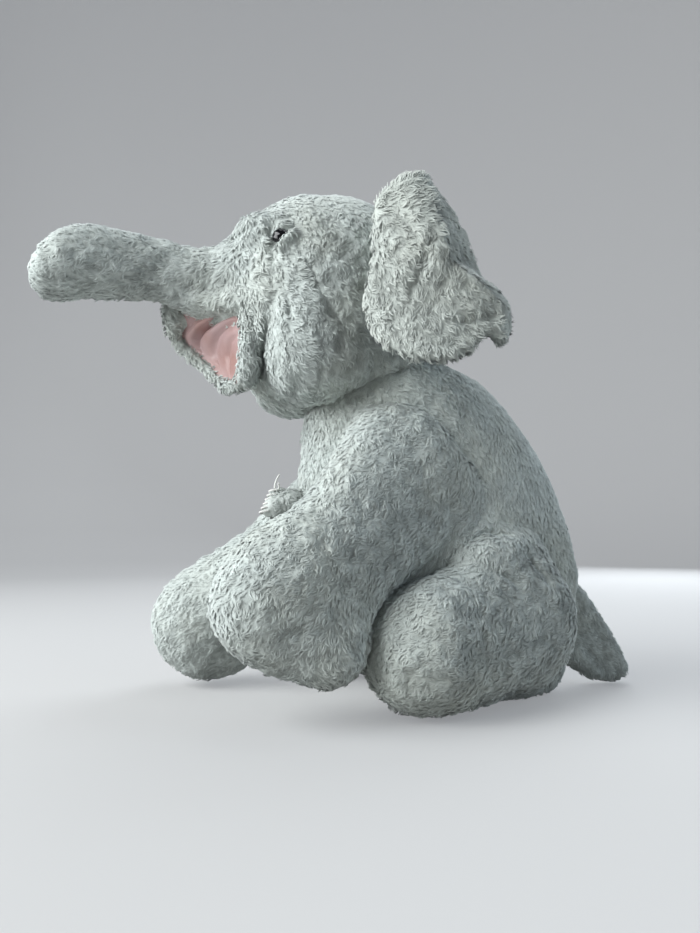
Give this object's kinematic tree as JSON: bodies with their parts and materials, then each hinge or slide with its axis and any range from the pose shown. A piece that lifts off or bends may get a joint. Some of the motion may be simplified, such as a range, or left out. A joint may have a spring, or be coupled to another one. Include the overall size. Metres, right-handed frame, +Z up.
{
  "type": "stuffed elephant",
  "caption": "Sitting plush elephant with a stuffed body, head, trunk, ears, legs and tail that flex at their seams.",
  "frame": {"origin": "front part of the flat seat, on the ground, in the elephant's plane of symmetry", "axes": "+Z up, -Y the way the elephant faces, +X its left side"},
  "size_m": [0.2502, 0.4818, 0.402],
  "materials": {
    "plush_grey": "long curly pile",
    "plush_belly": "short curly pile",
    "plush_ear_back": "smooth pile",
    "satin_pink": "satin",
    "filling": "loose fibre",
    "thread_white": "matt",
    "eye_black": "glossy",
    "washer_plastic": "matt"
  },
  "bodies": {
    "torso": {"torso_side_left": "plush_grey", "torso_side_right": "plush_grey", "belly_panel": "plush_belly", "torso_stuffing": "filling", "closing_seam_nub": "plush_grey", "closing_thread": "thread_white"},
    "neck": {"neck_band": "plush_grey"},
    "head": {"head_side_left": "plush_grey", "head_side_right": "plush_grey", "head_gusset": "plush_grey", "trunk_root_left": "plush_grey", "trunk_root_right": "plush_grey", "palate_lining": "satin_pink", "head_stuffing": "filling", "eye_left": "eye_black", "eye_right": "eye_black", "eye_washer_left": "washer_plastic", "eye_washer_right": "washer_plastic"},
    "jaw": {"jaw_casing": "plush_grey", "jaw_lining": "satin_pink", "jaw_stuffing": "filling"},
    "trunk_mid": {"trunk_mid_left": "plush_grey", "trunk_mid_right": "plush_grey", "trunk_mid_under": "plush_belly", "trunk_mid_stuffing": "filling"},
    "trunk_tip": {"trunk_tip_left": "plush_grey", "trunk_tip_right": "plush_grey", "trunk_tip_under": "plush_belly", "trunk_tip_stuffing": "filling"},
    "ear_left": {"ear_left_front": "plush_grey", "ear_left_back": "plush_ear_back"},
    "ear_right": {"ear_right_front": "plush_grey", "ear_right_back": "plush_ear_back"},
    "foreleg_left": {"foreleg_left_outer": "plush_grey", "foreleg_left_inner": "plush_grey", "foreleg_left_stuffing": "filling"},
    "foreleg_right": {"foreleg_right_outer": "plush_grey", "foreleg_right_inner": "plush_grey", "foreleg_right_stuffing": "filling"},
    "hindleg_left": {"hindleg_left_outer": "plush_grey", "hindleg_left_inner": "plush_grey", "hindleg_left_stuffing": "filling"},
    "hindleg_right": {"hindleg_right_outer": "plush_grey", "hindleg_right_inner": "plush_grey", "hindleg_right_stuffing": "filling"},
    "tail": {"tail_left": "plush_grey", "tail_right": "plush_grey"}
  },
  "joints": [
    {"name": "neck_turn", "type": "hinge", "parent": "torso", "child": "neck", "pos_m": [0, -0.038, 0.205], "axis": [0, -0.342, 0.9397], "range_deg": [-25, 25]},
    {"name": "head_nod", "type": "hinge", "parent": "neck", "child": "head", "pos_m": [0, -0.038, 0.205], "axis": [1, 0, 0], "range_deg": [-10, 15]},
    {"name": "jaw_open", "type": "hinge", "parent": "head", "child": "jaw", "pos_m": [0, -0.152, 0.281], "axis": [1, 0, 0], "range_deg": [-3, 5]},
    {"name": "trunk_base_bend", "type": "hinge", "parent": "head", "child": "trunk_mid", "pos_m": [0, -0.205, 0.323], "axis": [1, 0, 0], "range_deg": [-20, 20]},
    {"name": "trunk_tip_bend", "type": "hinge", "parent": "trunk_mid", "child": "trunk_tip", "pos_m": [0, -0.262, 0.329], "axis": [1, 0, 0], "range_deg": [-20, 20]},
    {"name": "ear_left_flap", "type": "hinge", "parent": "head", "child": "ear_left", "pos_m": [0.08, -0.066, 0.32], "axis": [0, 0, -1], "range_deg": [-6, 45]},
    {"name": "ear_right_flap", "type": "hinge", "parent": "head", "child": "ear_right", "pos_m": [-0.08, -0.066, 0.32], "axis": [0, 0, 1], "range_deg": [-6, 45]},
    {"name": "foreleg_left_swing", "type": "hinge", "parent": "torso", "child": "foreleg_left", "pos_m": [0.08, -0.05, 0.165], "axis": [-1, 0, 0], "range_deg": [0, 35]},
    {"name": "foreleg_right_swing", "type": "hinge", "parent": "torso", "child": "foreleg_right", "pos_m": [-0.08, -0.058, 0.148], "axis": [-1, 0, 0], "range_deg": [0, 35]},
    {"name": "hindleg_left_swing", "type": "hinge", "parent": "torso", "child": "hindleg_left", "pos_m": [0.08, 0.033, 0.062], "axis": [1, 0, 0], "range_deg": [0, 25]},
    {"name": "hindleg_right_swing", "type": "hinge", "parent": "torso", "child": "hindleg_right", "pos_m": [-0.08, 0.033, 0.062], "axis": [1, 0, 0], "range_deg": [0, 25]},
    {"name": "tail_swing", "type": "hinge", "parent": "torso", "child": "tail", "pos_m": [0, 0.122, 0.052], "axis": [0, 0, 1], "range_deg": [-30, 30]}
  ]
}
